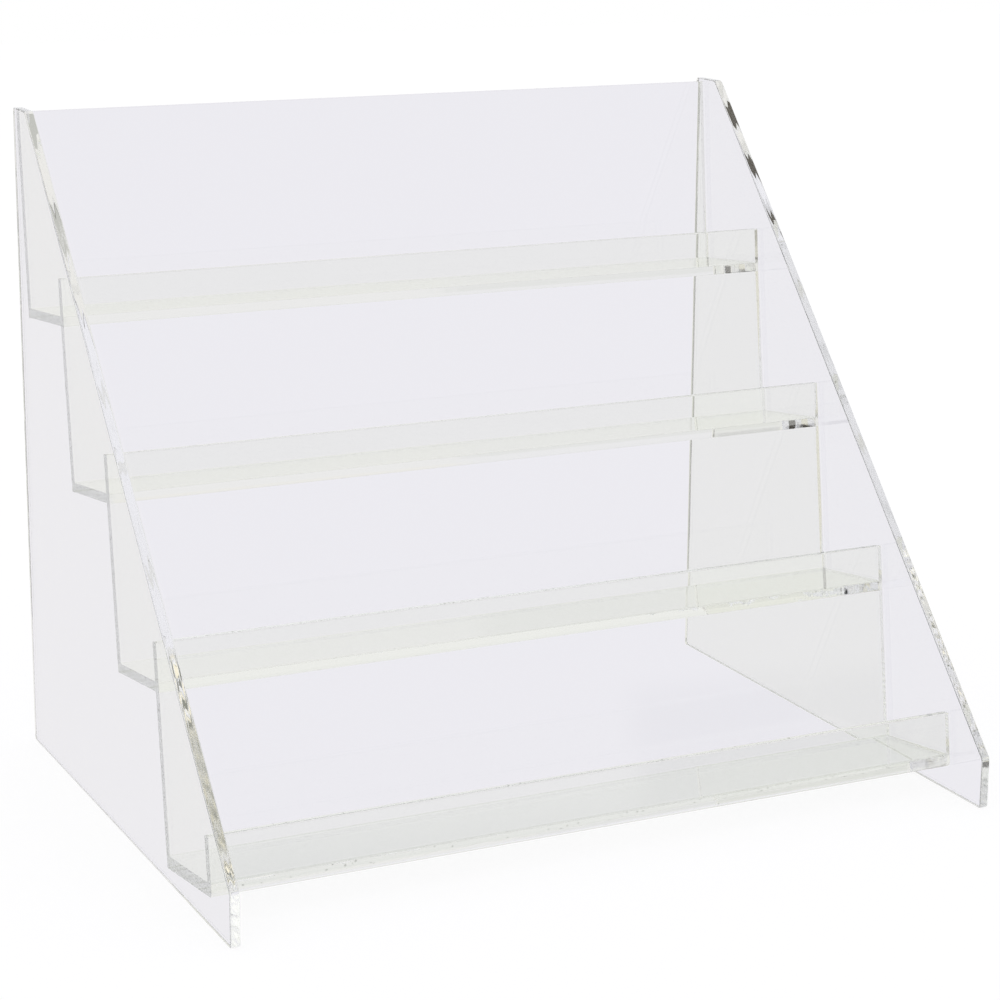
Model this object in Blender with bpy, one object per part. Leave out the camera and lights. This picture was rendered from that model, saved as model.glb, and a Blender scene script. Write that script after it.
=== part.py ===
"""Four-tier step riser in clear acrylic sheet.

Two tapered side panels stand on their lower edges and carry four stepped
tiers between them. Each tier is a shelf that tips back a little, with a low
lip along its front edge and an upright panel on its rear edge. The upright
of each lower tier runs up to the front edge of the shelf above it, so the
tiers make one zigzag of sheets that are cemented edge to face. The base
shelf is cut from thicker sheet, and its free front edge is rounded over.

Metres, +Z up, the front towards -Y. The origin is on the table, under the
middle of the whole riser. It builds from Blender's text editor, or with
blender --background --python part.py.
"""

from dataclasses import dataclass
import math

import bmesh
import bpy
from mathutils import Matrix, Vector


# Overall width, over the outer faces of the two side panels
WIDTH = 0.381

# Sheet thicknesses: the common stock, and the thicker base shelf
SHEET = 0.0045
BASE_SHEET = 0.006

# Each tier, measured along its own shelf or square to it
SHELF_DEPTH = 0.0575
RISER_HEIGHT = 0.0725
BACK_HEIGHT = 0.094
LIP_HEIGHT = 0.0174
BASE_LIP_HEIGHT = 0.0202

# How far the tiers tip back, where the top one leans less than the rest
TILT = math.radians(7.5)
TOP_TILT = math.radians(5.5)

# Room between the table and the lowest corner of the base shelf
BASE_CLEARANCE = 0.0051

# The side panels' outline round the tiers
FRONT_MARGIN = 0.0252
BACK_MARGIN = 0.0023
TOP_MARGIN = 0.0018
TOP_EDGE = 0.0195
FRONT_EDGE = 0.0245
CORNER_RADIUS = 0.0015

# Worked edges: the softened polished edge, and the base shelf's nose
EDGE_ROUND = 0.0004
NOSE_RADIUS = 0.0026

# Cement line between pieces that touch
JOINT = 0.0003

# Facets in a panel's corner, a nose and a softened edge
CORNER_STEPS = 5
NOSE_STEPS = 6
ROUND_STEPS = 2

# Clear cast acrylic, nearly colourless
CLEAR_COLOUR = (0.93, 0.935, 0.95, 1)
CLEAR_ROUGHNESS = 0.03
CLEAR_IOR = 1.49


@dataclass(frozen=True)
class Tier:
    """One step of the riser, by the sizes in which the steps differ.

    Args:
        name: What the tier's shelf and lip are called after.
        tilt: How far the tier tips back, in radians.
        shelf: Its shelf's thickness.
        nose: Radius of its shelf's lower front edge, or zero.
        lip: Its lip's height over the shelf.
        upright: What the panel on its rear edge is called.
        height: That panel's height over the shelf.
        free_top: Whether that panel's top edge stands free.
    """

    name: str
    tilt: float
    shelf: float
    nose: float
    lip: float
    upright: str
    height: float
    free_top: bool


def middle_tier(name):
    """Return one of the tiers between the base and the top."""
    return Tier(
        name=name, tilt=TILT, shelf=SHEET, nose=0, lip=LIP_HEIGHT,
        upright=name + "_riser", height=RISER_HEIGHT, free_top=False,
    )


BASE_TIER = Tier(
    name="tier_4", tilt=TILT, shelf=BASE_SHEET, nose=NOSE_RADIUS, lip=BASE_LIP_HEIGHT,
    upright="tier_4_riser", height=RISER_HEIGHT, free_top=False,
)
TOP_TIER = Tier(
    name="tier_1", tilt=TOP_TILT, shelf=SHEET, nose=0, lip=LIP_HEIGHT,
    upright="back_panel", height=BACK_HEIGHT, free_top=True,
)

# From the table up
TIERS = (BASE_TIER, middle_tier("tier_3"), middle_tier("tier_2"), TOP_TIER)


def clear_scene():
    """Remove every object that the file opened with."""
    for thing in list(bpy.data.objects):
        bpy.data.objects.remove(thing, do_unlink=True)


def make_collection(name):
    """Return a new collection, linked to the scene."""
    collection = bpy.data.collections.new(name)
    bpy.context.scene.collection.children.link(collection)
    return collection


def clear_acrylic(name):
    """Return the clear sheet material of one piece."""
    material = bpy.data.materials.new(name + "_acrylic")
    material.use_nodes = True
    inputs = material.node_tree.nodes["Principled BSDF"].inputs
    inputs["Base Color"].default_value = CLEAR_COLOUR
    inputs["Roughness"].default_value = CLEAR_ROUGHNESS
    inputs["Metallic"].default_value = 0
    inputs["IOR"].default_value = CLEAR_IOR
    inputs["Transmission Weight"].default_value = 1
    return material


def on_tier(tier, corner, along, up):
    """Return a place on a tier as depth and height in the riser's own frame.

    Args:
        tier: The tier that the place is on.
        corner: The tier's lower front corner.
        along: The distance back along the shelf.
        up: The distance square to the shelf.
    """
    lean = Matrix.Rotation(-tier.tilt, 3, "X")
    return corner + lean @ Vector((0, along, up))


def upright_foot(tier):
    """Return how far above the shelf's underside an upright or a lip stands."""
    return tier.shelf + JOINT


def corner_above(tier, corner):
    """Return the next tier's corner, flush over the front of this upright."""
    return on_tier(tier, corner, SHELF_DEPTH - SHEET, upright_foot(tier) + tier.height + JOINT)


def tier_corners():
    """Return each tier's lower front corner, from the table up, and the depth.

    The base tier's rear edge is its lowest, and keeps its clearance over the
    table. The middle of the riser's depth is then brought over the origin.
    """
    rise = BASE_CLEARANCE + SHELF_DEPTH * math.sin(BASE_TIER.tilt)
    corners = [Vector((0, FRONT_MARGIN, rise))]
    for tier in TIERS[:-1]:
        corners.append(corner_above(tier, corners[-1]))
    depth = back_panel_top(corners[-1]).y + BACK_MARGIN
    middle = Vector((0, depth / 2, 0))
    return [corner - middle for corner in corners], depth


def back_panel_top(corner):
    """Return the rear upper corner of the back panel."""
    return on_tier(TOP_TIER, corner, SHELF_DEPTH, upright_foot(TOP_TIER) + TOP_TIER.height)


def long_edge(mesh, y_side, z_side):
    """Return the edge that runs along one corner of a sheet's end profile.

    Args:
        mesh: The bmesh of a sheet that is centred on its own origin.
        y_side: -1 for the front, 1 for the rear.
        z_side: -1 for the underside, 1 for the top.
    """
    return [
        edge for edge in mesh.edges
        if all(vert.co.y * y_side > 0 and vert.co.z * z_side > 0 for vert in edge.verts)
    ]


def round_over(mesh, edges, radius, steps):
    """Round some edges of a bmesh, where they have a radius."""
    if radius > 0:
        bmesh.ops.bevel(
            mesh, geom=edges, offset=radius, offset_type="OFFSET", affect="EDGES",
            segments=steps, profile=0.5, material=-1,
        )


def add_sheet(name, size, place, parent, collection, soft=(), nose=0):
    """Add one flat sheet to a tier.

    Args:
        name: The object's name.
        size: Its width, depth and height, as it lies on the tier.
        place: How far its lower front edge is along the shelf and over it.
        parent: The tier's empty.
        collection: The collection that it goes in.
        soft: The long edges to soften, each as its y side and z side.
        nose: The radius of its lower front edge, or zero.
    """
    width, depth, height = size
    along, up = place
    wall = min(depth, height)
    mesh = bmesh.new()
    bmesh.ops.create_cube(mesh, size=1)
    bmesh.ops.scale(mesh, vec=Vector((width, depth, height)), verts=mesh.verts)
    for y_side, z_side in soft:
        round_over(mesh, long_edge(mesh, y_side, z_side), min(EDGE_ROUND, wall / 4), ROUND_STEPS)
    if nose > 0:
        round_over(mesh, long_edge(mesh, -1, -1), min(nose, wall / 2), NOSE_STEPS)
    data = bpy.data.meshes.new(name)
    mesh.to_mesh(data)
    mesh.free()
    data.materials.append(clear_acrylic(name))
    piece = bpy.data.objects.new(name, data)
    piece.parent = parent
    piece.location = (0, along + depth / 2, up + height / 2)
    collection.objects.link(piece)


def build_tier(tier, corner, collection):
    """Build a tier's shelf, lip and upright on an empty that is tipped back.

    Args:
        tier: The tier.
        corner: Its shelf's lower front corner.
        collection: The collection that its pieces go in.
    """
    empty = bpy.data.objects.new(tier.name, None)
    empty.location = corner
    empty.rotation_euler = (-tier.tilt, 0, 0)
    empty.empty_display_size = SHELF_DEPTH
    collection.objects.link(empty)

    span = WIDTH - (SHEET + JOINT) * 2
    foot = upright_foot(tier)
    front_top, rear_top, rear_low = (-1, 1), (1, 1), (1, -1)
    add_sheet(
        tier.name + "_shelf", (span, SHELF_DEPTH, tier.shelf), (0, 0),
        empty, collection, soft=(rear_low,), nose=tier.nose,
    )
    add_sheet(
        tier.name + "_lip", (span, SHEET, tier.lip), (0, foot),
        empty, collection, soft=(front_top, rear_top),
    )
    add_sheet(
        tier.upright, (span, SHEET, tier.height), (SHELF_DEPTH - SHEET, foot),
        empty, collection, soft=(front_top, rear_top) if tier.free_top else (),
    )


def rounded_outline(corners, radius, shrink):
    """Return a convex outline with an arc at each corner, drawn inside it.

    Args:
        corners: The sharp corners, anticlockwise.
        radius: The radius of each rounded corner.
        shrink: How far inside the rounded outline the points lie.
    """
    points = []
    for index, corner in enumerate(corners):
        before = (corner - corners[index - 1]).normalized()
        after = (corners[(index + 1) % len(corners)] - corner).normalized()
        turn = before.angle(after)
        outward = Vector((before.y, -before.x))
        centre = corner - before * radius * math.tan(turn / 2) - outward * radius
        start = math.atan2(outward.y, outward.x)
        for step in range(CORNER_STEPS + 1):
            angle = start + turn * step / CORNER_STEPS
            points.append(centre + Vector((math.cos(angle), math.sin(angle))) * (radius - shrink))
    return points


def build_side_panel(name, x_middle, depth, height, collection):
    """Build one tapered side panel, with its outline in the Y and Z plane.

    Args:
        name: The object's name.
        x_middle: Where the middle of its thickness stands.
        depth: The riser's whole depth.
        height: The riser's whole height.
        collection: The collection that it goes in.
    """
    front, back = -depth / 2, depth / 2
    corners = [
        Vector((front, 0)),
        Vector((back, 0)),
        Vector((back, height)),
        Vector((back - TOP_EDGE, height)),
        Vector((front, FRONT_EDGE)),
    ]
    curve = bpy.data.curves.new(name, "CURVE")
    curve.dimensions = "2D"
    curve.fill_mode = "BOTH"
    curve.extrude = SHEET / 2 - EDGE_ROUND
    curve.bevel_depth = EDGE_ROUND
    curve.bevel_resolution = ROUND_STEPS - 1
    outline = rounded_outline(corners, max(CORNER_RADIUS, EDGE_ROUND * 2), EDGE_ROUND)
    spline = curve.splines.new("POLY")
    spline.points.add(len(outline) - 1)
    for point, place in zip(spline.points, outline):
        point.co = (place.x, place.y, 0, 1)
    spline.use_cyclic_u = True
    curve.materials.append(clear_acrylic(name))
    panel = bpy.data.objects.new(name, curve)
    panel.location = (x_middle, 0, 0)
    panel.rotation_euler = (math.pi / 2, 0, math.pi / 2)
    collection.objects.link(panel)


def main():
    """Build the whole riser."""
    clear_scene()
    collection = make_collection("acrylic_step_riser")
    corners, depth = tier_corners()
    height = back_panel_top(corners[-1]).z + TOP_MARGIN
    for tier, corner in zip(TIERS, corners):
        build_tier(tier, corner, collection)
    x_middle = (WIDTH - SHEET) / 2
    build_side_panel("left_side_panel", -x_middle, depth, height, collection)
    build_side_panel("right_side_panel", x_middle, depth, height, collection)
    print(f"width {WIDTH:.4f} depth {depth:.4f} height {height:.4f}")


main()
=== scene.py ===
import logging
import math
from dataclasses import dataclass, field
from enum import Enum
from typing import Callable

import bmesh
import bpy
from mathutils import Matrix, Quaternion, Vector, noise
from mathutils.geometry import intersect_point_line


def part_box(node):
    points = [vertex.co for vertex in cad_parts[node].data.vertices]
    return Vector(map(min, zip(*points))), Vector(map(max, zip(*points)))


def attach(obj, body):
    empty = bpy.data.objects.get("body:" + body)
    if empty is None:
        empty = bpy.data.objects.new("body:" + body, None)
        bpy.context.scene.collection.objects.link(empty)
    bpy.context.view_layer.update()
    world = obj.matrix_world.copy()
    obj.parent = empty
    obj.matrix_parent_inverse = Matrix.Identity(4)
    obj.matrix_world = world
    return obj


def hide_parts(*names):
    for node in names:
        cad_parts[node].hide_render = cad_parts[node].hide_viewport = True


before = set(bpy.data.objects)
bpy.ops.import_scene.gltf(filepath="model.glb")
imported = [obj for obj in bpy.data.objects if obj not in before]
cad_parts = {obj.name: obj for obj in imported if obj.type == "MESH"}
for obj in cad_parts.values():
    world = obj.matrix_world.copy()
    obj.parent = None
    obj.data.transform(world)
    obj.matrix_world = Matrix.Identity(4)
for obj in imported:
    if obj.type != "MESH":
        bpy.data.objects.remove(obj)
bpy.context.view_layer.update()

log = logging.getLogger("step_riser")

MM = 0.001

# How far a cemented sheet is let into its neighbour. The gaps of the solids are
# closed, so light crosses a joint as it does through clear cement.
CEMENT = 0.3 * MM
BITE = 0.05 * MM

# How far a face's middle may lie off its plane and still count as being on it.
SLACK = BITE / 10

# How closely the normal of a panel's flat face points along the riser's width.
FLAT = 0.999

# How many times light may bounce on its way along inside a sheet.
BOUNCES = 96

# Attributes of the meshes that the acrylic reads: the faces of a polished edge,
# the faces of a joint, the joints at a sheet's sawn ends, the distance along the
# sheet in metres, and how dull its polish is, from 0 to 1, which also sets the
# painted grey-green shade on the edge.
POLISHED_EDGE = "polished_edge"
CEMENTED_FACE = "cemented_face"
SAWN_END = "sawn_end"
ALONG_EDGE = "along_edge"
# Painted shade: besides setting the roughness, this mask tints the dull stretches grey green.
DULL_POLISH_AND_SHADE = "dull_polish_and_shade"


class Edge(Enum):
    """How one edge of a sheet is worked."""

    CEMENTED = "square, and cemented to a neighbour"
    EASED = "just broken, beside a joint"
    POLISHED = "free, and flame polished"
    NOSED = "free, rounded over and flame polished"


@dataclass(frozen=True)
class FlamePolish:
    """What a torch does to a sawn edge: round corners and a faint ripple.

    Args:
        radius: Radius of a free corner.
        eased: Radius of a corner that is only broken.
        nose: Radius of the base shelf's rounded front edge.
        steps: Facets in a rounded corner.
        ripple: Height of the ripple.
        wave: Its length along the edge.
        fine_wave: How many times shorter the finer ripple on it is.
        fine_share: The height of that finer ripple, as a share of the whole.
        skew: What sets the ripple of one direction apart from the others'.
        spacing: Distance between the rings of vertices that carry it.
        fade: Length over which the polish turns duller and its painted shade comes in.
    """

    radius: float = 0.55 * MM
    eased: float = 0.15 * MM
    nose: float = 2.6 * MM
    steps: int = 4
    ripple: float = 0.04 * MM
    wave: float = 5.0 * MM
    fine_wave: float = 2.3
    fine_share: float = 0.5
    skew: float = 0.7
    spacing: float = 2.5 * MM
    fade: float = 8.0 * MM

    def size_of(self, edge: Edge) -> float:
        """Return the corner radius of an edge."""
        return {
            Edge.CEMENTED: 0.0,
            Edge.EASED: self.eased,
            Edge.POLISHED: self.radius,
            Edge.NOSED: self.nose,
        }[edge]

    def shift(self, place: Vector, seed: float) -> float:
        """Return how far the ripple lifts a point of an edge.

        Args:
            place: The point.
            seed: A number that sets one edge's ripple apart from another's.

        Returns:
            The distance along the edge's own outward direction.
        """
        spot = place / self.wave + Vector((seed, seed * self.skew, -seed))
        return self.ripple * (
            noise.noise(spot) + self.fine_share * noise.noise(spot * self.fine_wave)
        )

    def dullness_and_shade(self, along: float, stretch: tuple[float, float, float]) -> float:
        """Work out how dull an edge is at one place, and how much painted shade it has.

        Args:
            along: The distance along the edge.
            stretch: Where the torch passed quickly and the edge is painted with shade,
            from and to, and how dull and shaded that left it.

        Returns:
            How dull and how shaded it is, from 0 to 1.
        """
        start, end, most = stretch
        return most * min(max(min(along - start, end - along) / self.fade, 0.0), 1.0)


def to_linear(colour: str) -> tuple[float, float, float, float]:
    """Return an sRGB hex colour as linear red, green, blue and an alpha of one.

    Args:
        colour: The colour, such as "#f1eff9".

    Returns:
        The four channels.
    """
    channels = [int(colour[at:at + 2], 16) / 255 for at in (1, 3, 5)]
    # The curve's constants are those of the sRGB standard.
    curve = [c / 12.92 if c <= 0.04045 else ((c + 0.055) / 1.055) ** 2.4 for c in channels]
    return (*curve, 1.0)


def add_node(
    tree: bpy.types.NodeTree, kind: str, settings: dict | None = None,
    values: dict | None = None, links: dict | None = None,
) -> bpy.types.Node:
    """Add a shader node with its settings, its constants and its links.

    Args:
        tree: The node tree.
        kind: The node's Blender type, such as "ShaderNodeMath".
        settings: Properties of the node.
        values: Constants for its inputs, by name or place.
        links: Output sockets to plug into its inputs, by name or place.

    Returns:
        The new node.
    """
    node = tree.nodes.new(kind)
    for name, value in (settings or {}).items():
        setattr(node, name, value)
    for name, value in (values or {}).items():
        node.inputs[name].default_value = value
    for name, socket in (links or {}).items():
        tree.links.new(socket, node.inputs[name])
    return node


def start_sheet() -> bmesh.types.BMesh:
    """Return an empty mesh with the layers that the acrylic reads."""
    mesh = bmesh.new()
    for name in (POLISHED_EDGE, CEMENTED_FACE, SAWN_END):
        mesh.faces.layers.float.new(name)
    for name in (ALONG_EDGE, DULL_POLISH_AND_SHADE):
        mesh.verts.layers.float.new(name)
    return mesh


def finish_edges(
    mesh: bmesh.types.BMesh, marks: dict[str, list], along: Callable[[Vector], float],
    dull: Callable[[Vector], float], polish: FlamePolish, seed: float,
) -> None:
    """Ripple and smooth the polished edges, and mark what the acrylic reads.

    Args:
        mesh: The sheet's mesh.
        marks: The faces that each attribute marks.
        along: Gives the distance along the sheet of a point.
        dull: Gives how dull the polish is at a point, and so its painted shade, from 0 to 1.
        polish: How the edges are finished.
        seed: A number that sets one sheet's ripple apart from another's.
    """
    for name, faces in marks.items():
        layer = mesh.faces.layers.float[name]
        for face in faces:
            face[layer] = 1.0
    along_mark = mesh.verts.layers.float[ALONG_EDGE]
    dull_and_shade_mark = mesh.verts.layers.float[DULL_POLISH_AND_SHADE]
    for vert in mesh.verts:
        vert[along_mark] = along(vert.co)
        vert[dull_and_shade_mark] = dull(vert.co)
    rim = set(marks[POLISHED_EDGE])
    for face in rim:
        face.smooth = True
    mesh.normal_update()
    for vert in mesh.verts:
        if all(face in rim for face in vert.link_faces):
            vert.co += vert.normal * polish.shift(vert.co, seed)


@dataclass(frozen=True)
class CastAcrylic:
    """Clear cast acrylic sheet, and what sawing, polishing and cementing leave on it.

    A face keeps the polish of the glass it is cast against. A flame-polished edge
    is clear too, but keeps a trace of the saw across it, and is duller where the
    torch passed quickly; there it also carries a painted grey-green shade. Solvent
    cement is clear, with small bubbles caught along the joint. A sheet's ends are
    cemented as they were sawn, so they look grey.

    Args:
        name: The material's name.
        face: What light keeps on its way through one sheet, face on.
        body: What light keeps in a metre of sheet, as seen through an edge.
        density: How many metres of that colour a metre of sheet takes.
        ior: Refractive index of acrylic.
        edge_gloss: Roughness of a polished edge.
        dull_gloss: What is added to it where the polish is dull.
        painted_dull_edge_shade: Painted grey-green shade on a dull edge, given as what light keeps
            on its way in through it.
        cement: What a clear joint keeps.
        sawn: What the joint at a sawn end keeps.
        sawn_grain: How much that grey varies along the end, and how weak it gets.
        bubble: What a bubble in a joint keeps.
        bubble_gap: Distance between bubbles.
        bubble_size: Radius of a bubble, as a share of that distance.
        bubble_core: Where it starts to clear, as a share of its radius.
        saw_pitch: Distance between the saw's marks along an edge.
        saw_depth: Depth of what polishing leaves of them.
        saw_slant: How fast they change across an edge, next to along it.
    """

    name: str = "clear_cast_acrylic"
    face: str = "#fafbf7"
    body: str = "#a2a2a0"
    density: float = 0.25
    ior: float = 1.49
    edge_gloss: float = 0.02
    dull_gloss: float = 0.13
    # Painted shade: the grey-green tint of the dull stretches of an edge.
    painted_dull_edge_shade: str = "#d6d8d0"
    cement: str = "#ffffff"
    sawn: str = "#e6e6e8"
    sawn_grain: tuple[float, float] = (0.6, 0.7)
    bubble: str = "#8c8c88"
    bubble_gap: float = 3.0 * MM
    bubble_size: float = 0.2
    bubble_core: float = 0.7
    saw_pitch: float = 1.2 * MM
    saw_depth: float = 0.01 * MM
    saw_slant: float = 0.3

    def make(self) -> bpy.types.Material:
        """Return the finished material."""
        material = bpy.data.materials.new(self.name)
        material.use_nodes = True
        tree = material.node_tree
        tree.nodes.clear()
        place = add_node(tree, "ShaderNodeTexCoord").outputs["Object"]
        rim = add_node(tree, "ShaderNodeAttribute", {"attribute_name": POLISHED_EDGE})
        rim = rim.outputs["Fac"]
        # How dull the polish is, which sets both the roughness and the painted shade.
        dull = add_node(tree, "ShaderNodeAttribute", {"attribute_name": DULL_POLISH_AND_SHADE})
        dull = add_node(
            tree, "ShaderNodeMath", {"operation": "MULTIPLY"},
            links={0: dull.outputs["Fac"], 1: rim},
        ).outputs[0]
        gloss = add_node(
            tree, "ShaderNodeMath", {"operation": "MULTIPLY"}, {1: self.edge_gloss}, {0: rim},
        )
        gloss = add_node(
            tree, "ShaderNodeMath", {"operation": "MULTIPLY_ADD"}, {1: self.dull_gloss},
            {0: dull, 2: gloss.outputs[0]},
        )
        surface = add_node(
            tree, "ShaderNodeBsdfPrincipled",
            values={"Metallic": 0.0, "IOR": self.ior, "Transmission Weight": 1.0},
            links={
                "Base Color": self._tint(tree, place, dull),
                "Roughness": gloss.outputs[0],
                "Normal": self._saw_marks(tree, place, rim),
            },
        )
        body = add_node(
            tree, "ShaderNodeVolumeAbsorption",
            values={"Color": to_linear(self.body), "Density": self.density},
        )
        add_node(
            tree, "ShaderNodeOutputMaterial",
            links={"Surface": surface.outputs[0], "Volume": body.outputs[0]},
        )
        return material

    def _tint(
        self, tree: bpy.types.NodeTree, place: bpy.types.NodeSocket, dull: bpy.types.NodeSocket,
    ) -> bpy.types.NodeSocket:
        """Make the tint.

        It is faint on a face, painted grey-green shade on a dull edge, grey at a sawn
        end, and none in a joint but for its bubbles.

        Args:
            tree: The material's node tree.
            place: The point on the sheet.
            dull: How dull the polish is there, which also sets the painted shade.

        Returns:
            The colour.
        """
        joint = add_node(tree, "ShaderNodeAttribute", {"attribute_name": CEMENTED_FACE})
        end = add_node(tree, "ShaderNodeAttribute", {"attribute_name": SAWN_END})
        marks = add_node(
            tree, "ShaderNodeTexNoise", values={"Scale": 1 / self.saw_pitch, "Detail": 1.0},
            links={"Vector": place},
        )
        swing, least = self.sawn_grain
        marks = add_node(
            tree, "ShaderNodeMath", {"operation": "MULTIPLY_ADD"}, {1: swing, 2: least},
            {0: marks.outputs["Fac"]},
        )
        grey = add_node(
            tree, "ShaderNodeMath", {"operation": "MULTIPLY", "use_clamp": True},
            links={0: marks.outputs[0], 1: end.outputs["Fac"]},
        )
        clear_joint = add_node(
            tree, "ShaderNodeMix", {"data_type": "RGBA"},
            {6: to_linear(self.cement), 7: to_linear(self.sawn)}, {0: grey.outputs[0]},
        )
        bubbles = add_node(
            tree, "ShaderNodeTexVoronoi", values={"Scale": 1 / self.bubble_gap},
            links={"Vector": place},
        )
        clear = add_node(
            tree, "ShaderNodeMapRange", {"interpolation_type": "SMOOTHSTEP"},
            {"From Min": self.bubble_size * self.bubble_core, "From Max": self.bubble_size},
            {"Value": bubbles.outputs["Distance"]},
        )
        cement = add_node(
            tree, "ShaderNodeMix", {"data_type": "RGBA"},
            {6: to_linear(self.bubble)}, {0: clear.outputs[0], 7: clear_joint.outputs[2]},
        )
        # Painted shade: the faint face tint turns grey green on the dull stretches of an edge.
        face = add_node(
            tree, "ShaderNodeMix", {"data_type": "RGBA"},
            {6: to_linear(self.face), 7: to_linear(self.painted_dull_edge_shade)}, {0: dull},
        )
        return add_node(
            tree, "ShaderNodeMix", {"data_type": "RGBA"},
            links={0: joint.outputs["Fac"], 6: face.outputs[2], 7: cement.outputs[2]},
        ).outputs[2]

    def _saw_marks(
        self, tree: bpy.types.NodeTree, place: bpy.types.NodeSocket, rim: bpy.types.NodeSocket,
    ) -> bpy.types.NodeSocket:
        """Make fine ridges across the polished edges, and leave the faces level.

        Args:
            tree: The material's node tree.
            place: The point on the sheet.
            rim: Whether it is on a polished edge.

        Returns:
            The normal.
        """
        along = add_node(tree, "ShaderNodeAttribute", {"attribute_name": ALONG_EDGE})
        across = add_node(
            tree, "ShaderNodeVectorMath", {"operation": "SCALE"}, {"Scale": self.saw_slant},
            {0: place},
        )
        marks = add_node(
            tree, "ShaderNodeTexNoise", {"noise_dimensions": "4D"},
            {"Scale": 1 / self.saw_pitch, "Detail": 1.0},
            {"Vector": across.outputs[0], "W": along.outputs["Fac"]},
        )
        height = add_node(
            tree, "ShaderNodeMath", {"operation": "MULTIPLY"},
            links={0: marks.outputs["Fac"], 1: rim},
        )
        return add_node(
            tree, "ShaderNodeBump", values={"Strength": 1.0, "Distance": self.saw_depth},
            links={"Height": height.outputs[0]},
        ).outputs[0]


@dataclass
class Sheet:
    """One flat sheet of a tier, cut square and cemented in at both ends.

    Its own frame has X along the riser's width, Y back along the shelf and Z
    square to the shelf, from the tier's lower front corner.

    Args:
        node: The CAD node that it stands for.
        low: Its lower front corner in Y and Z.
        high: Its upper rear corner in Y and Z.
        edges: How its long edges are worked, by their Y side and Z side.
    """

    node: str
    low: tuple[float, float]
    high: tuple[float, float]
    edges: dict[tuple[int, int], Edge] = field(default_factory=dict)

    def build(self, half_width: float, polish: FlamePolish, place: Matrix) -> bpy.types.Mesh:
        """Make the sheet's mesh in the riser's frame.

        Args:
            half_width: How far it reaches to each side.
            polish: How its free edges are finished.
            place: Where its tier stands.

        Returns:
            The mesh.
        """
        size = Vector((half_width * 2, self.high[0] - self.low[0], self.high[1] - self.low[1]))
        middle = Vector((0, (self.high[0] + self.low[0]) / 2, (self.high[1] + self.low[1]) / 2))
        mesh = start_sheet()
        bmesh.ops.create_cube(mesh, size=1)
        bmesh.ops.scale(mesh, vec=size, verts=mesh.verts)
        for (y_side, z_side), edge in self.edges.items():
            radius = polish.size_of(edge)
            if radius > 0:
                self._round(mesh, y_side, z_side, radius, polish.steps)
        self._ring(mesh, size.x, polish.spacing)
        self._work(mesh, size, polish)
        bmesh.ops.translate(mesh, vec=middle, verts=mesh.verts)
        bmesh.ops.transform(mesh, matrix=place, verts=mesh.verts)
        data = bpy.data.meshes.new(self.node)
        mesh.to_mesh(data)
        mesh.free()
        return data

    @staticmethod
    def _round(
        mesh: bmesh.types.BMesh, y_side: int, z_side: int, radius: float, steps: int,
    ) -> None:
        """Round the long edge at one corner of the sheet's end.

        Args:
            mesh: The sheet's mesh.
            y_side: The corner's side in Y, as -1 or 1.
            z_side: Its side in Z.
            radius: The radius.
            steps: The facets in it.
        """
        edges = [
            edge for edge in mesh.edges
            if all(v.co.y * y_side > 0 and v.co.z * z_side > 0 for v in edge.verts)
            and abs(edge.verts[0].co.x - edge.verts[1].co.x) > radius
        ]
        corner = max(edges, key=lambda e: e.verts[0].co.y * y_side + e.verts[0].co.z * z_side)
        bmesh.ops.bevel(
            mesh, geom=[corner], offset=radius, offset_type="OFFSET", affect="EDGES",
            segments=steps, profile=0.5, material=-1,
        )

    @staticmethod
    def _ring(mesh: bmesh.types.BMesh, width: float, spacing: float) -> None:
        """Cut rings across the sheet, so that its edges can carry a ripple.

        Args:
            mesh: The sheet's mesh.
            width: The sheet's width.
            spacing: The distance between two rings.
        """
        long_edges = [e for e in mesh.edges if abs(e.verts[0].co.x - e.verts[1].co.x) > width / 2]
        bmesh.ops.subdivide_edges(
            mesh, edges=long_edges, cuts=int(width / spacing), use_grid_fill=True,
        )

    def _work(self, mesh: bmesh.types.BMesh, size: Vector, polish: FlamePolish) -> None:
        """Polish the free edges and mark the cemented ones.

        Args:
            mesh: The sheet's mesh.
            size: The sheet's size.
            polish: How its free edges are finished.
        """
        long_axis = 1 if size.y > size.z else 2
        rim, joint, ends = [], [], []
        for face in mesh.faces:
            centre = face.calc_center_median()
            side = 1 if centre[long_axis] > 0 else -1
            worked = [edge for sides, edge in self.edges.items() if sides[long_axis - 1] == side]
            free = [polish.size_of(edge) for edge in worked if edge is not Edge.CEMENTED]
            reach = max(free, default=0.0) + SLACK
            if abs(centre.x) > size.x / 2 - SLACK:
                joint.append(face)
                ends.append(face)
            elif abs(centre[long_axis]) > size[long_axis] / 2 - reach:
                (rim if free else joint).append(face)
        seed = float(len(self.node)) + self.low[1] / MM
        marks = {POLISHED_EDGE: rim, CEMENTED_FACE: joint, SAWN_END: ends}
        finish_edges(mesh, marks, lambda co: co.x, lambda co: 0.0, polish, seed)


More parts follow.
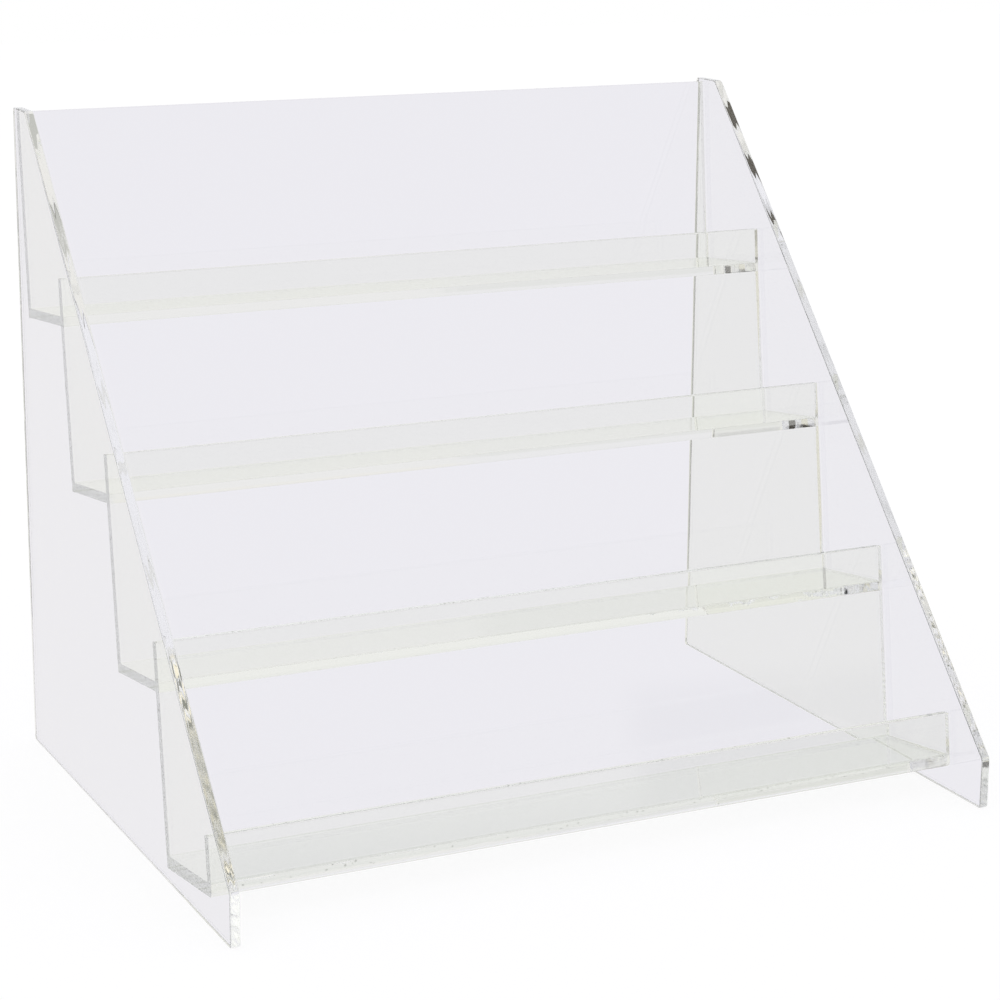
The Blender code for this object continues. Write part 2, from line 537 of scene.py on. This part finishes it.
@dataclass
class Tier:
    """A shelf that tips back, with the lip on its front and its upright.

    Args:
        name: What its shelf and lip are called after.
        tilt: How far it tips back, in degrees.
        shelf: Its shelf's thickness.
        lip: Its lip's height over the shelf.
        upright: The node of the panel on its rear edge.
        height: That panel's height over the shelf.
        top: How that panel's top edge is worked.
        front: How the shelf's lower front edge is worked.
        close: How much further the upright reaches, to close the joint over it.
        sheet: The thickness of its lip and its upright.
        depth: Its shelf's depth, front to back.
    """

    name: str
    tilt: float = 7.5
    shelf: float = 4.5 * MM
    lip: float = 17.4 * MM
    upright: str = ""
    height: float = 72.5 * MM
    top: Edge = Edge.CEMENTED
    front: Edge = Edge.EASED
    close: float = 0.0
    sheet: float = 4.5 * MM
    depth: float = 57.5 * MM

    def place(self, corner: Vector) -> Matrix:
        """Return the tier's frame from its lower front corner."""
        return Matrix.Translation(corner) @ Matrix.Rotation(-math.radians(self.tilt), 4, "X")

    def corner_above(self, corner: Vector) -> Vector:
        """Return where the next tier's corner stands on this one's upright."""
        rise = self.shelf + CEMENT + self.height + CEMENT
        return self.place(corner) @ Vector((0, self.depth - self.sheet, rise))

    def sheets(self) -> list[Sheet]:
        """Return the tier's three sheets."""
        foot = self.shelf - BITE
        rear = self.depth - self.sheet
        head = self.shelf + CEMENT
        top = head + self.height + (self.close + BITE if self.top is Edge.CEMENTED else 0.0)
        return [
            Sheet(
                f"{self.name}_shelf", (0.0, 0.0), (self.depth, self.shelf),
                {
                    (-1, 1): Edge.EASED, (-1, -1): self.front,
                    (1, 1): Edge.EASED, (1, -1): Edge.POLISHED,
                },
            ),
            Sheet(
                f"{self.name}_lip", (0.0, foot), (self.sheet, head + self.lip),
                {(-1, 1): Edge.POLISHED, (1, 1): Edge.POLISHED},
            ),
            Sheet(
                self.upright, (rear, foot), (self.depth, top),
                {(-1, 1): self.top, (1, 1): self.top},
            ),
        ]


@dataclass
class SidePanel:
    """One tapered side panel, flame polished all the way round.

    Args:
        node: The CAD node that it stands for.
        sheet: Its thickness.
        top_edge: The length of its level top edge.
        front_edge: The height of its upright front edge.
        corner: The radius of its corners, seen from the side.
        corner_steps: The facets in such a corner.
        cuts: The rings of vertices that carry the ripple across its thickness.
        dull: The stretches that are polished less and painted with grey-green shade,
        from and to, up the front edge and the slope from the front foot, and how
        dull and shaded each is.
    """

    node: str
    sheet: float = 4.5 * MM
    top_edge: float = 19.5 * MM
    front_edge: float = 24.5 * MM
    corner: float = 1.5 * MM
    corner_steps: int = 6
    cuts: int = 2
    dull: tuple[tuple[float, float, float], ...] = ()

    def outline(self) -> list[tuple[float, float]]:
        """Return the corners in Y and Z, from the front foot round by the back."""
        low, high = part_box(self.node)
        return [
            (low.y, 0.0), (high.y, 0.0), (high.y, high.z),
            (high.y - self.top_edge, high.z), (low.y, self.front_edge),
        ]

    def dullness_and_shade(
        self, place: Vector, corners: list[tuple[float, float]], polish: FlamePolish,
    ) -> float:
        """Work out how dull the polish is at a point of the panel, and so its painted shade.

        Args:
            place: The point.
            corners: The panel's outline.
            polish: How its edges are finished.

        Returns:
            How dull and how shaded it is, from 0 to 1.
        """
        foot, *_, head, knee = (Vector((place.x, *corner)) for corner in corners)
        passed = 0.0
        for start, end in ((foot, knee), (knee, head)):
            nearest, share = intersect_point_line(place, start, end)
            length = (end - start).length
            if 0 <= share <= 1 and (nearest - place).length < self.corner:
                along = passed + share * length
                return max((polish.dullness_and_shade(along, stretch) for stretch in self.dull), default=0.0)
            passed += length
        return 0.0

    def build(self, polish: FlamePolish) -> bpy.types.Mesh:
        """Make the panel's mesh in the riser's frame.

        Args:
            polish: How its edges are finished.

        Returns:
            The mesh.
        """
        low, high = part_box(self.node)
        corners = self.outline()
        mesh = start_sheet()
        mesh.faces.new([mesh.verts.new((low.x, y, z)) for y, z in corners])
        bmesh.ops.bevel(
            mesh, geom=mesh.verts[:], offset=self.corner, offset_type="OFFSET",
            affect="VERTICES", segments=self.corner_steps, profile=0.5, material=-1,
        )
        for edge in mesh.edges[:]:
            cuts = int(edge.calc_length() / polish.spacing)
            if cuts > 1:
                bmesh.ops.subdivide_edges(mesh, edges=[edge], cuts=cuts)
        grown = bmesh.ops.extrude_face_region(mesh, geom=mesh.faces[:])
        moved = [part for part in grown["geom"] if isinstance(part, bmesh.types.BMVert)]
        bmesh.ops.translate(mesh, vec=(high.x - low.x, 0, 0), verts=moved)
        bmesh.ops.recalc_face_normals(mesh, faces=mesh.faces)
        rim = [
            edge for edge in mesh.edges
            if len({round(v.co.x, 6) for v in edge.verts}) == 1
        ]
        bmesh.ops.bevel(
            mesh, geom=rim, offset=polish.radius, offset_type="OFFSET", affect="EDGES",
            segments=polish.steps, profile=0.5, material=-1,
        )
        across = [
            edge for edge in mesh.edges
            if abs(edge.verts[0].co.x - edge.verts[1].co.x) > self.sheet / 2
        ]
        bmesh.ops.subdivide_edges(mesh, edges=across, cuts=self.cuts, use_grid_fill=True)
        mesh.normal_update()
        rim = [face for face in mesh.faces if abs(face.normal.x) < FLAT]
        finish_edges(
            mesh, {POLISHED_EDGE: rim}, lambda co: co.y + co.z,
            lambda co: self.dullness_and_shade(co, corners, polish), polish, low.x / MM,
        )
        data = bpy.data.meshes.new(self.node)
        mesh.to_mesh(data)
        mesh.free()
        return data


@dataclass
class StepRiser:
    """The whole riser: four tiers between two side panels.

    Args:
        tiers: The tiers from the table up.
        panels: The two side panels.
        polish: How the free edges are finished.
        acrylic: The sheet that everything is cut from.
        front_margin: How far the base shelf stands behind the panels' front edges.
        clearance: The base shelf's lowest edge over the table.
    """

    tiers: list[Tier] = field(default_factory=lambda: [
        Tier(
            "tier_4", shelf=6.0 * MM, lip=20.2 * MM, upright="tier_4_riser", front=Edge.NOSED,
            close=CEMENT,
        ),
        Tier("tier_3", upright="tier_3_riser", close=CEMENT),
        Tier("tier_2", upright="tier_2_riser", close=0.46 * MM),
        Tier("tier_1", tilt=5.5, upright="back_panel", height=94.0 * MM, top=Edge.POLISHED),
    ])
    panels: list[SidePanel] = field(default_factory=lambda: [
        # The dull stretches are rougher and also painted with grey-green shade, more on the left
        # slope than the right.
        SidePanel("left_side_panel", dull=((38.0 * MM, 104.0 * MM, 1.0),)),
        SidePanel(
            "right_side_panel",
            dull=((-10.0 * MM, 30.0 * MM, 0.8), (136.0 * MM, 318.0 * MM, 0.6)),
        ),
    ])
    polish: FlamePolish = field(default_factory=FlamePolish)
    acrylic: CastAcrylic = field(default_factory=CastAcrylic)
    front_margin: float = 25.2 * MM
    clearance: float = 5.1 * MM

    def build(self) -> None:
        """Make every sheet, dress it and put it in place of its CAD node."""
        material = self.acrylic.make()
        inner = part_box("right_side_panel")[0].x + BITE
        base = self.tiers[0]
        corner = Vector((
            0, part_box("left_side_panel")[0].y + self.front_margin,
            self.clearance + base.depth * math.sin(math.radians(base.tilt)),
        ))
        for tier in self.tiers:
            for sheet in tier.sheets():
                self._add(sheet.node, sheet.build(inner, self.polish, tier.place(corner)), material)
            corner = tier.corner_above(corner)
        for panel in self.panels:
            self._add(panel.node, panel.build(self.polish), material)

    @staticmethod
    def _add(node: str, data: bpy.types.Mesh, material: bpy.types.Material) -> None:
        """Link one finished mesh as the piece that stands for a CAD node.

        Args:
            node: The CAD node.
            data: The mesh.
            material: The acrylic.
        """
        data.materials.append(material)
        piece = bpy.data.objects.new(f"{node}_sheet", data)
        bpy.context.scene.collection.objects.link(piece)
        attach(piece, "root")
        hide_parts(node)
        low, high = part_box(node)
        co = [v.co for v in data.vertices]
        off = max(
            max(
                abs(min(c[axis] for c in co) - low[axis]),
                abs(max(c[axis] for c in co) - high[axis]),
            )
            for axis in range(3)
        )
        log.info(
            "%s: %d faces, within %.2f mm of its node", piece.name, len(data.polygons), off / MM,
        )


@dataclass(frozen=True)
class Flag:
    """A plain screen beside the set, as a studio uses to shape what gloss reflects.

    It shows only in light that has gone round inside the sheets.

    Args:
        azimuth: Its bearing from straight back, towards the left, in degrees.
        half_width: The angle from its middle to its side.
        low: The elevation of its lower edge.
        high: The elevation of its upper edge.
        soft: The angle over which its edges fade.
        colour: Its colour.
        bounces: The least and the most reflections of the light that it shows in.
        level: How brightly it is lit, next to the sweep.
        crossed: The most surfaces that the light has crossed.
    """

    azimuth: float
    half_width: float
    low: float
    high: float
    soft: float
    colour: str
    bounces: tuple[int, int] = (2, 99)
    level: float = 1.0
    crossed: int = 99

    def shown(self) -> tuple[float, float, float, float]:
        """Return its lit colour."""
        return tuple(channel * self.level for channel in to_linear(self.colour))

    def cover(
        self, tree: bpy.types.NodeTree, where: bpy.types.NodeSocket, path: bpy.types.Node,
    ) -> bpy.types.NodeSocket:
        """Work out how much of the screen is seen.

        Args:
            tree: The world's node tree.
            where: The direction.
            path: The world's Light Path node.

        Returns:
            The cover, from 0 to 1.
        """
        bearing = math.radians(self.azimuth)
        side = Vector((-math.sin(bearing), math.cos(bearing), 0))
        level = add_node(
            tree, "ShaderNodeVectorMath", {"operation": "MULTIPLY"}, {1: (1, 1, 0)}, {0: where},
        )
        level = add_node(
            tree, "ShaderNodeVectorMath", {"operation": "NORMALIZE"}, links={0: level.outputs[0]},
        )
        turn = add_node(
            tree, "ShaderNodeVectorMath", {"operation": "DOT_PRODUCT"}, {1: side},
            {0: level.outputs[0]},
        )
        height = add_node(tree, "ShaderNodeSeparateXYZ", links={0: where}).outputs["Z"]
        least, most = self.bounces
        seen = add_node(
            tree, "ShaderNodeMath", {"operation": "COMPARE"},
            {1: (least + most) / 2, 2: (most - least + 1) / 2}, {0: path.outputs["Glossy Depth"]},
        ).outputs[0]
        near = add_node(
            tree, "ShaderNodeMath", {"operation": "LESS_THAN"}, {1: self.crossed + 0.5},
            {0: path.outputs["Transmission Depth"]},
        )
        seen = add_node(
            tree, "ShaderNodeMath", {"operation": "MULTIPLY"}, links={0: seen, 1: near.outputs[0]},
        ).outputs[0]
        edges = (
            (turn.outputs["Value"], math.cos, self.half_width + self.soft, self.half_width),
            (height, math.sin, self.low - self.soft, self.low),
            (height, math.sin, self.high + self.soft, self.high),
        )
        for value, ratio, outside, inside in edges:
            fade = add_node(
                tree, "ShaderNodeMapRange", {"interpolation_type": "SMOOTHSTEP"},
                {
                    "From Min": ratio(math.radians(outside)),
                    "From Max": ratio(math.radians(inside)),
                },
                {"Value": value},
            )
            seen = add_node(
                tree, "ShaderNodeMath", {"operation": "MULTIPLY"},
                links={0: seen, 1: fade.outputs[0]},
            ).outputs[0]
        return seen


@dataclass
class Studio:
    """A white sweep lit evenly from all round, with a few screens beside it.

    Args:
        backdrop: The sweep, as the camera sees it.
        through: The sweep, as it looks through a sheet.
        surround: What the edges and the faces reflect.
        stack: How much brighter the sweep looks behind a stack of sheets, whose
            faces are lit from between them too, in red, green and blue.
        surfaces: The number of surfaces at which that starts, and is full.
        paper: The floor's own colour, which takes the riser's shadow.
        paper_light: How brightly the floor is lit from beneath.
        floor_reach: How far the floor reaches to each side, in metres.
        flags: The screens. A later one hides an earlier one.
    """

    backdrop: str = "#ffffff"
    through: str = "#f1eff9"
    surround: str = "#f1efef"
    stack: tuple[float, float, float] = (1.09, 1.09, 1.115)
    surfaces: tuple[int, int] = (4, 8)
    paper: str = "#595959"
    paper_light: float = 0.92
    floor_reach: float = 4.0
    flags: tuple[Flag, ...] = (
        # The sweep, as it looks after many reflections
        Flag(0, 170, -85, 85, 5, "#f3f2fb", (5, 99)),
        # Dark and cream, in the shelves' right ends
        Flag(34, 13, -13, 14, 2, "#3b352f", (3, 12)),
        Flag(31, 7, -14, -1, 1, "#3b352f", (2, 2)),
        Flag(31, 9, -24, -13, 2, "#efebdf", (3, 16)),
        # Dark wedges at the top of the right slope
        Flag(38, 11, -34.5, -20, 0.8, "#4d483e", (2, 8), crossed=3),
        Flag(18, 8, -32, -26, 1, "#c4c4c1", (1, 4)),
        # Grey green and bright sparkle, low down both slopes
        Flag(-20, 35, 40, 55, 1.5, "#8d8e84", (10, 40)),
        Flag(30, 15, 40, 55, 1.5, "#fbf3df", (10, 40), 1.1),
        Flag(0, 45, 33, 42, 1.5, "#fffdf6", (20, 40), 1.25),
        # Bright and pale, in the shelves' tops and bands
        Flag(-15, 35, 9, 30, 3, "#ffffff", (4, 99), 1.12),
        Flag(-25, 15, 7, 14, 1.5, "#e4e5e8", (1, 3)),
        Flag(-25, 20, -1, 6, 1, "#f0eff2", (1, 3)),
        Flag(-33, 8, -6, 1.5, 1, "#efeef3", (1, 3)),
        Flag(-33, 8, 1.5, 6, 1, "#e8e8ea", (1, 3)),
        Flag(-29, 13, -26, -10, 1, "#f2f2f1", (1, 5)),
        # Grey, in the upright lines at the back
        Flag(-155, 11, -16, -8.5, 1, "#b0b0b0", (1, 3)),
        Flag(-145, 7, -9.5, -6, 1, "#b0b0b0", (1, 3)),
    )

    def light(self) -> None:
        """Make the world."""
        world = bpy.data.worlds.new("white_sweep")
        bpy.context.scene.world = world
        world.use_nodes = True
        tree = world.node_tree
        tree.nodes.clear()
        path = add_node(tree, "ShaderNodeLightPath")
        where = add_node(tree, "ShaderNodeTexCoord").outputs["Generated"]
        around = add_node(tree, "ShaderNodeRGB").outputs[0]
        around.default_value = to_linear(self.surround)
        for flag in self.flags:
            around = add_node(
                tree, "ShaderNodeMix", {"data_type": "RGBA"}, {7: flag.shown()},
                {0: flag.cover(tree, where, path), 6: around},
            ).outputs[2]
        bounced = add_node(
            tree, "ShaderNodeMath", {"operation": "GREATER_THAN"}, {1: 0.5},
            {0: path.outputs["Glossy Depth"]},
        )
        sheets = add_node(
            tree, "ShaderNodeMix", {"data_type": "RGBA"}, {6: to_linear(self.through)},
            {0: bounced.outputs[0], 7: around},
        )
        seen = add_node(
            tree, "ShaderNodeMix", {"data_type": "RGBA"}, {7: to_linear(self.backdrop)},
            {0: path.outputs["Is Camera Ray"], 6: sheets.outputs[2]},
        )
        start, full = self.surfaces
        deep = add_node(
            tree, "ShaderNodeMapRange", values={"From Min": start, "From Max": full},
            links={"Value": path.outputs["Transmission Depth"]},
        )
        stacked = add_node(
            tree, "ShaderNodeMix", {"data_type": "RGBA", "blend_type": "MULTIPLY"},
            {7: (*self.stack, 1.0)}, {0: deep.outputs[0], 6: seen.outputs[2]},
        )
        sweep = add_node(tree, "ShaderNodeBackground", links={"Color": stacked.outputs[2]})
        add_node(tree, "ShaderNodeOutputWorld", links={"Surface": sweep.outputs[0]})

    def floor(self) -> None:
        """Make the plain white floor, which keeps the riser's shadow."""
        mesh = bmesh.new()
        bmesh.ops.create_grid(mesh, x_segments=1, y_segments=1, size=self.floor_reach)
        bmesh.ops.translate(mesh, vec=(0, 0, -CEMENT), verts=mesh.verts)
        data = bpy.data.meshes.new("floor")
        mesh.to_mesh(data)
        mesh.free()
        # Matt paper has no gloss, so the riser leaves only a soft shadow on it.
        material = bpy.data.materials.new("matt_white_paper")
        material.use_nodes = True
        tree = material.node_tree
        tree.nodes.clear()
        matt = add_node(tree, "ShaderNodeBsdfDiffuse", values={"Color": to_linear(self.paper)})
        glow = add_node(
            tree, "ShaderNodeEmission",
            values={"Color": to_linear(self.backdrop), "Strength": self.paper_light},
        )
        both = add_node(tree, "ShaderNodeAddShader", links={0: matt.outputs[0], 1: glow.outputs[0]})
        add_node(tree, "ShaderNodeOutputMaterial", links={"Surface": both.outputs[0]})
        data.materials.append(material)
        floor = bpy.data.objects.new("floor", data)
        bpy.context.scene.collection.objects.link(floor)
        floor.visible_glossy = False
        floor.visible_transmission = False


@dataclass(frozen=True)
class Camera:
    """The photograph's camera: where it stands, how it is turned, and its lens.

    Args:
        place: Its position.
        yaw: How far it looks to the right of straight back, in degrees.
        pitch: How far it looks down.
        roll: How far it is turned about its axis.
        focus: Its focal length, in widths of the image.
        shift: How far the frame is shifted up, in widths of the image.
        sensor: The width of its sensor, in millimetres.
        clip: The nearest and the furthest that it sees, in metres.
    """

    place: tuple[float, float, float] = (-0.54380, -1.11432, 0.46228)
    yaw: float = 26.0504
    pitch: float = 13.3859
    roll: float = -0.3818
    focus: float = 2.6810
    shift: float = -0.06
    sensor: float = 36.0
    clip: tuple[float, float] = (0.05, 50.0)

    def add(self) -> None:
        """Make the camera and look through it."""
        data = bpy.data.cameras.new("camera")
        data.sensor_width = self.sensor
        data.lens = self.focus * self.sensor
        data.shift_y = self.shift
        data.clip_start, data.clip_end = self.clip
        camera = bpy.data.objects.new("camera", data)
        bpy.context.scene.collection.objects.link(camera)
        yaw, pitch = math.radians(self.yaw), math.radians(self.pitch)
        ahead = Vector((
            math.sin(yaw) * math.cos(pitch), math.cos(yaw) * math.cos(pitch), -math.sin(pitch),
        ))
        turn = Quaternion((0, 0, 1), -math.radians(self.roll))
        camera.rotation_mode = "QUATERNION"
        camera.rotation_quaternion = ahead.to_track_quat("-Z", "Y") @ turn
        camera.location = self.place
        bpy.context.scene.camera = camera


def set_paths() -> None:
    """Let light bounce all the way along a sheet, and keep colours as written."""
    scene = bpy.context.scene
    scene.view_settings.view_transform = "Standard"
    scene.cycles.max_bounces = BOUNCES
    scene.cycles.transmission_bounces = BOUNCES
    scene.cycles.glossy_bounces = BOUNCES
    scene.cycles.caustics_reflective = True
    scene.cycles.caustics_refractive = True


def main() -> None:
    """Build the riser, its set and its camera."""
    logging.basicConfig(level=logging.INFO, format="%(message)s")
    set_paths()
    StepRiser().build()
    studio = Studio()
    studio.light()
    studio.floor()
    Camera().add()


if __name__ == "__main__":
    main()
